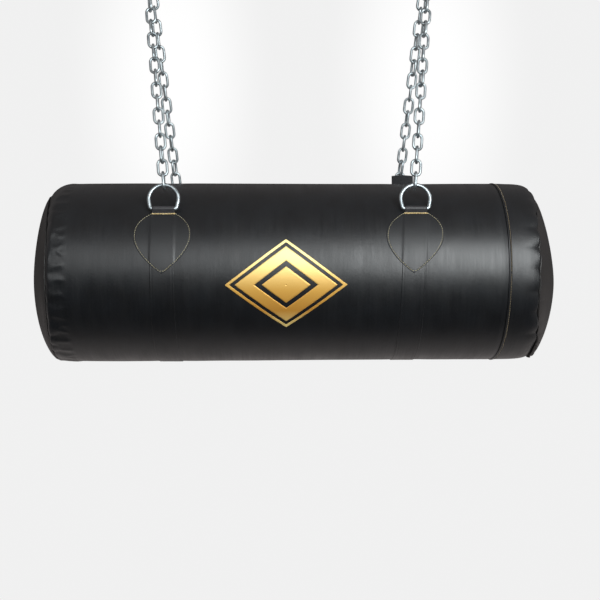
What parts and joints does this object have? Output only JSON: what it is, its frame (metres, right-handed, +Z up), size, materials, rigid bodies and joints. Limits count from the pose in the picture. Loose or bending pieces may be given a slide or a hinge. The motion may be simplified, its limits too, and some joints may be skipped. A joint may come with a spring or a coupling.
{
  "type": "horizontal punching bag",
  "caption": "Horizontal cylindrical punching bag in synthetic leather, slung in bands with D-rings and hung on link chains with snap hooks.",
  "frame": {"origin": "midway between the two ceiling hooks, at the level where they bear in the snap hooks", "axes": "+X along the bag towards its closure sleeve, +Z up; the printed front faces -Y"},
  "size_m": [1.1386, 0.4088, 1.0558],
  "materials": {
    "black_leather": "semi-gloss PU-coated synthetic leather, fine grain",
    "webbing": "folded synthetic leather strap over webbing, matt",
    "woven_tag": "plain woven polyester tape",
    "zinc_steel": "bright zinc plating, slightly uneven",
    "foam": "closed-cell foam sheet",
    "textile_fill": "packed textile shreds",
    "gold_print": "gold foil print",
    "gold_thread": "tan-gold polyester thread"
  },
  "bodies": {
    "snap_hooks": {"left_snap_hook": "zinc_steel", "left_gate_pin": "zinc_steel", "right_snap_hook": "zinc_steel", "right_gate_pin": "zinc_steel"},
    "left_gate": {"left_gate": "zinc_steel"},
    "right_gate": {"right_gate": "zinc_steel"},
    "top_rings": {"left_top_ring": "zinc_steel", "right_top_ring": "zinc_steel"},
    "left_chains": {"front_left_chain": "zinc_steel", "rear_left_chain": "zinc_steel"},
    "right_chains": {"front_right_chain": "zinc_steel", "rear_right_chain": "zinc_steel"},
    "bag": {"outer_cover": "black_leather", "closure_sleeve": "black_leather", "left_end_disc": "black_leather", "right_end_disc": "black_leather", "foam_liner": "foam", "textile_filling": "textile_fill", "left_sling_band": "black_leather", "front_left_patch": "black_leather", "front_left_strap_loop": "webbing", "front_left_d_ring": "zinc_steel", "front_left_last_link": "zinc_steel", "rear_left_patch": "black_leather", "rear_left_strap_loop": "webbing", "rear_left_d_ring": "zinc_steel", "rear_left_last_link": "zinc_steel", "right_sling_band": "black_leather", "front_right_patch": "black_leather", "front_right_strap_loop": "webbing", "front_right_d_ring": "zinc_steel", "front_right_last_link": "zinc_steel", "rear_right_patch": "black_leather", "rear_right_strap_loop": "webbing", "rear_right_d_ring": "zinc_steel", "rear_right_last_link": "zinc_steel", "woven_tag": "woven_tag", "front_emblem": "gold_print"}
  },
  "joints": [
    {"name": "front_back_swing", "type": "hinge", "parent": "snap_hooks", "child": "top_rings", "pos_m": [0, 0, -0.068], "axis": [1, 0, 0], "range_deg": [-50, 50]},
    {"name": "side_swing", "type": "hinge", "parent": "top_rings", "child": "left_chains", "pos_m": [-0.319, 0, -0.102], "axis": [0, 1, 0], "range_deg": [-8, 8]},
    {"name": "bag_levelling", "type": "hinge", "parent": "left_chains", "child": "bag", "pos_m": [-0.26757, 0, -0.6341], "axis": [0, 1, 0], "range_deg": [-9.6, 9.6]},
    {"name": "right_chain_swing", "type": "hinge", "parent": "top_rings", "child": "right_chains", "pos_m": [0.319, 0, -0.102], "axis": [0, 1, 0], "range_deg": [-8.1, 8.1]},
    {"name": "left_gate_opening", "type": "hinge", "parent": "snap_hooks", "child": "left_gate", "pos_m": [-0.29914, 0, -0.04947], "axis": [0, -1, 0], "range_deg": [0, 25], "stiffness_Nm_per_rad": 0.05, "springref_deg": -28.65},
    {"name": "right_gate_opening", "type": "hinge", "parent": "snap_hooks", "child": "right_gate", "pos_m": [0.33886, 0, -0.04947], "axis": [0, -1, 0], "range_deg": [0, 25], "stiffness_Nm_per_rad": 0.05, "springref_deg": -28.65}
  ],
  "couplings": [
    {"joint": "bag_levelling", "follows": "side_swing", "ratio": -1.1922},
    {"joint": "right_chain_swing", "follows": "side_swing", "ratio": 1}
  ]
}
